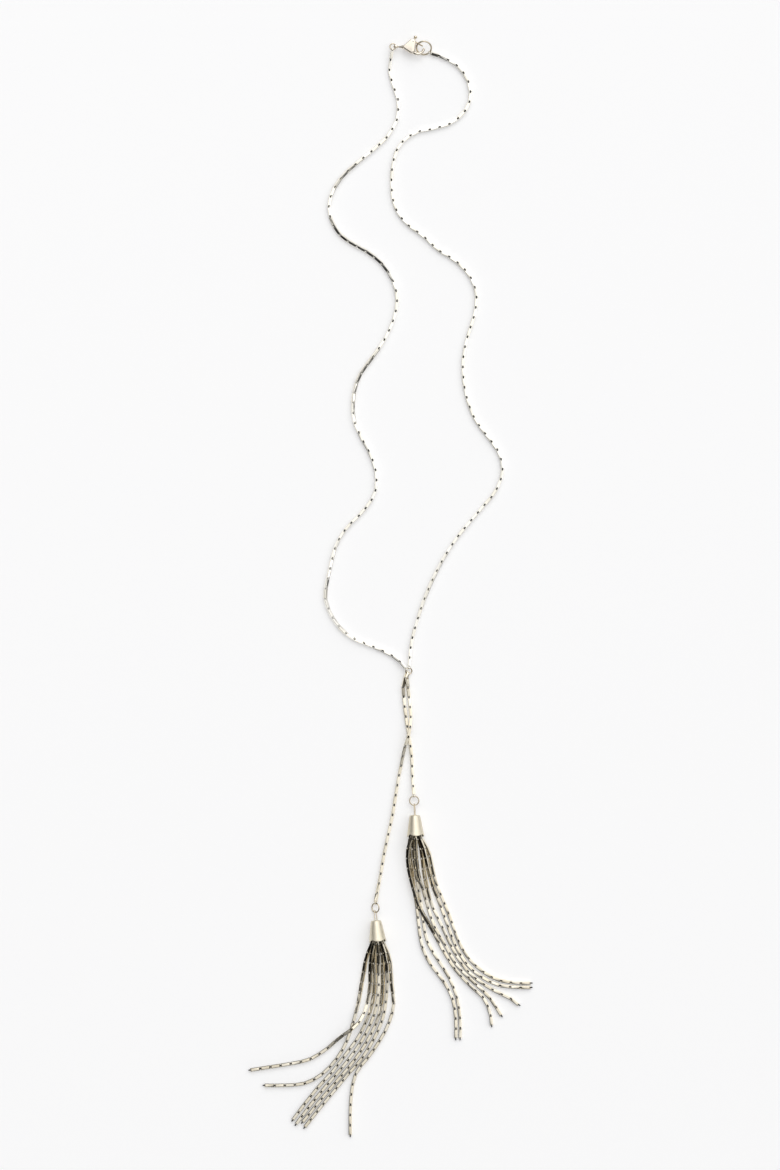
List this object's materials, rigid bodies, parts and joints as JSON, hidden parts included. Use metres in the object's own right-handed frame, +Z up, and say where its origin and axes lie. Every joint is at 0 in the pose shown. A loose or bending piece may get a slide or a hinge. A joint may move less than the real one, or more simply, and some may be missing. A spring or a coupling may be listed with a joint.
{
  "type": "chain tassel necklace",
  "caption": "Long gold-tone chain necklace with a lobster clasp, a small ring that joins the loop to a tie chain, and a bell cap with loose chain strands at each end.",
  "frame": {"origin": "centre of the footprint of the necklace as it lies, on the surface it lies on", "axes": "+Z up from the surface, +Y from the tassels towards the clasp, +X to the right in the picture"},
  "size_m": [0.1299, 0.5057, 0.008],
  "materials": {
    "link_chain": "polished pale gold plating",
    "tassel_chain": "polished pale gold plating",
    "cap_metal": "satin pale gold plating",
    "ring_metal": "polished pale gold plating",
    "clasp_metal": "polished pale gold plating"
  },
  "bodies": {
    "necklace": {"neck_chain_left": "link_chain", "neck_chain_right": "link_chain", "clasp_ring": "ring_metal", "clasp_body": "clasp_metal", "end_ring": "ring_metal", "centre_ring": "ring_metal", "tie_chain": "tassel_chain", "tassel_ring_left": "ring_metal", "tassel_ring_right": "ring_metal", "cap_eye_left": "ring_metal", "cap_eye_right": "ring_metal", "cap_left": "cap_metal", "cap_right": "cap_metal", "strand_left_1": "tassel_chain", "strand_left_2": "tassel_chain", "strand_left_3": "tassel_chain", "strand_left_4": "tassel_chain", "strand_left_5": "tassel_chain", "strand_left_6": "tassel_chain", "strand_left_7": "tassel_chain", "strand_right_1": "tassel_chain", "strand_right_2": "tassel_chain", "strand_right_3": "tassel_chain", "strand_right_4": "tassel_chain", "strand_right_5": "tassel_chain", "strand_right_6": "tassel_chain", "strand_right_7": "tassel_chain"},
    "lever": {"clasp_lever": "clasp_metal"}
  },
  "joints": [
    {"name": "lever_hinge", "type": "hinge", "parent": "necklace", "child": "lever", "pos_m": [0.01048, 0.24958, 0.0025], "axis": [0, 0, 1], "range_deg": [-8, 0], "stiffness_Nm_per_rad": 0.0002, "springref_deg": 11.46}
  ]
}
